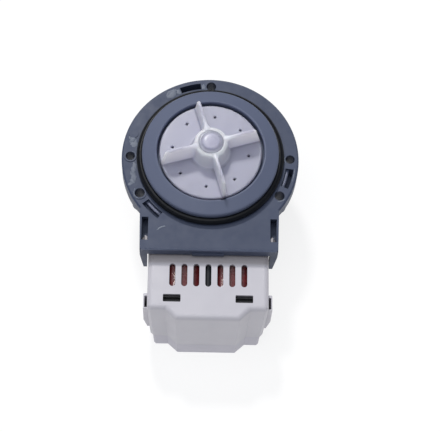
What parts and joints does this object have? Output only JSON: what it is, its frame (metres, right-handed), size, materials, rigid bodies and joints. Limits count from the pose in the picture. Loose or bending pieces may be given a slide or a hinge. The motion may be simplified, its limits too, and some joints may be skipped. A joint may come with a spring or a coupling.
{
  "type": "washing machine drain pump",
  "caption": "Synchronous drain pump with open impeller in a round sealed flange, permanent-magnet rotor in a closed can, and a U-core coil motor under vented covers.",
  "frame": {"origin": "on the rotor axis, in the plane of the flange's front face", "axes": "+Z along the rotor axis towards the impeller, -Y towards the coil end, X across the pump"},
  "size_m": [0.096, 0.1406, 0.0787],
  "materials": {
    "head_plastic": "satin",
    "holder_plastic": "satin",
    "seal_rubber": "satin",
    "bush_carbon": "matte",
    "shaft_steel": "polished",
    "magnet_ferrite": "matte",
    "inner_plastic": "matte",
    "washer_plastic": "matte",
    "impeller_plastic": "satin",
    "cap_plastic": "satin",
    "core_steel": "laminated",
    "rivet_steel": "satin",
    "bobbin_plastic": "satin",
    "coil_wire": "enamelled wire",
    "cutout_metal": "satin",
    "sleeve_black": "gloss",
    "lead_wire": "enamelled wire",
    "block_plastic": "matte",
    "terminal_brass": "tinned",
    "cover_plastic": "matte",
    "rear_plastic": "matte"
  },
  "bodies": {
    "motor_housing": {"pump_head": "head_plastic", "head_seal": "seal_rubber", "bearing_holder": "holder_plastic", "holder_seal": "seal_rubber", "shaft_seal": "seal_rubber", "front_bush": "bush_carbon", "front_bush_mount": "seal_rubber", "rear_bush": "bush_carbon", "rear_bush_mount": "seal_rubber", "left_pole_stack": "core_steel", "right_pole_stack": "core_steel", "core_yoke": "core_steel", "core_rivets": "rivet_steel", "left_bobbin": "bobbin_plastic", "right_bobbin": "bobbin_plastic", "left_coil": "coil_wire", "right_coil": "coil_wire", "thermal_cutout": "cutout_metal", "cutout_sleeve": "sleeve_black", "link_leads": "lead_wire", "coil_leads": "lead_wire", "terminal_block": "block_plastic", "left_terminal": "terminal_brass", "right_terminal": "terminal_brass", "coil_cover": "cover_plastic", "rear_cover": "rear_plastic"},
    "rotor": {"rotor_shaft": "shaft_steel", "rotor_magnet": "magnet_ferrite", "magnet_core": "inner_plastic", "thrust_washers": "washer_plastic", "drive_dog": "inner_plastic"},
    "impeller_wheel": {"impeller": "impeller_plastic", "dog_buffers": "seal_rubber", "impeller_cap": "cap_plastic"}
  },
  "joints": [
    {"name": "rotor_spin", "type": "hinge", "parent": "motor_housing", "child": "rotor", "pos_m": [0, 0, 0], "axis": [0, 0, 1], "continuous": true},
    {"name": "impeller_free_play", "type": "hinge", "parent": "rotor", "child": "impeller_wheel", "pos_m": [0, 0, 0], "axis": [0, 0, 1], "range_deg": [-88, 88]}
  ]
}
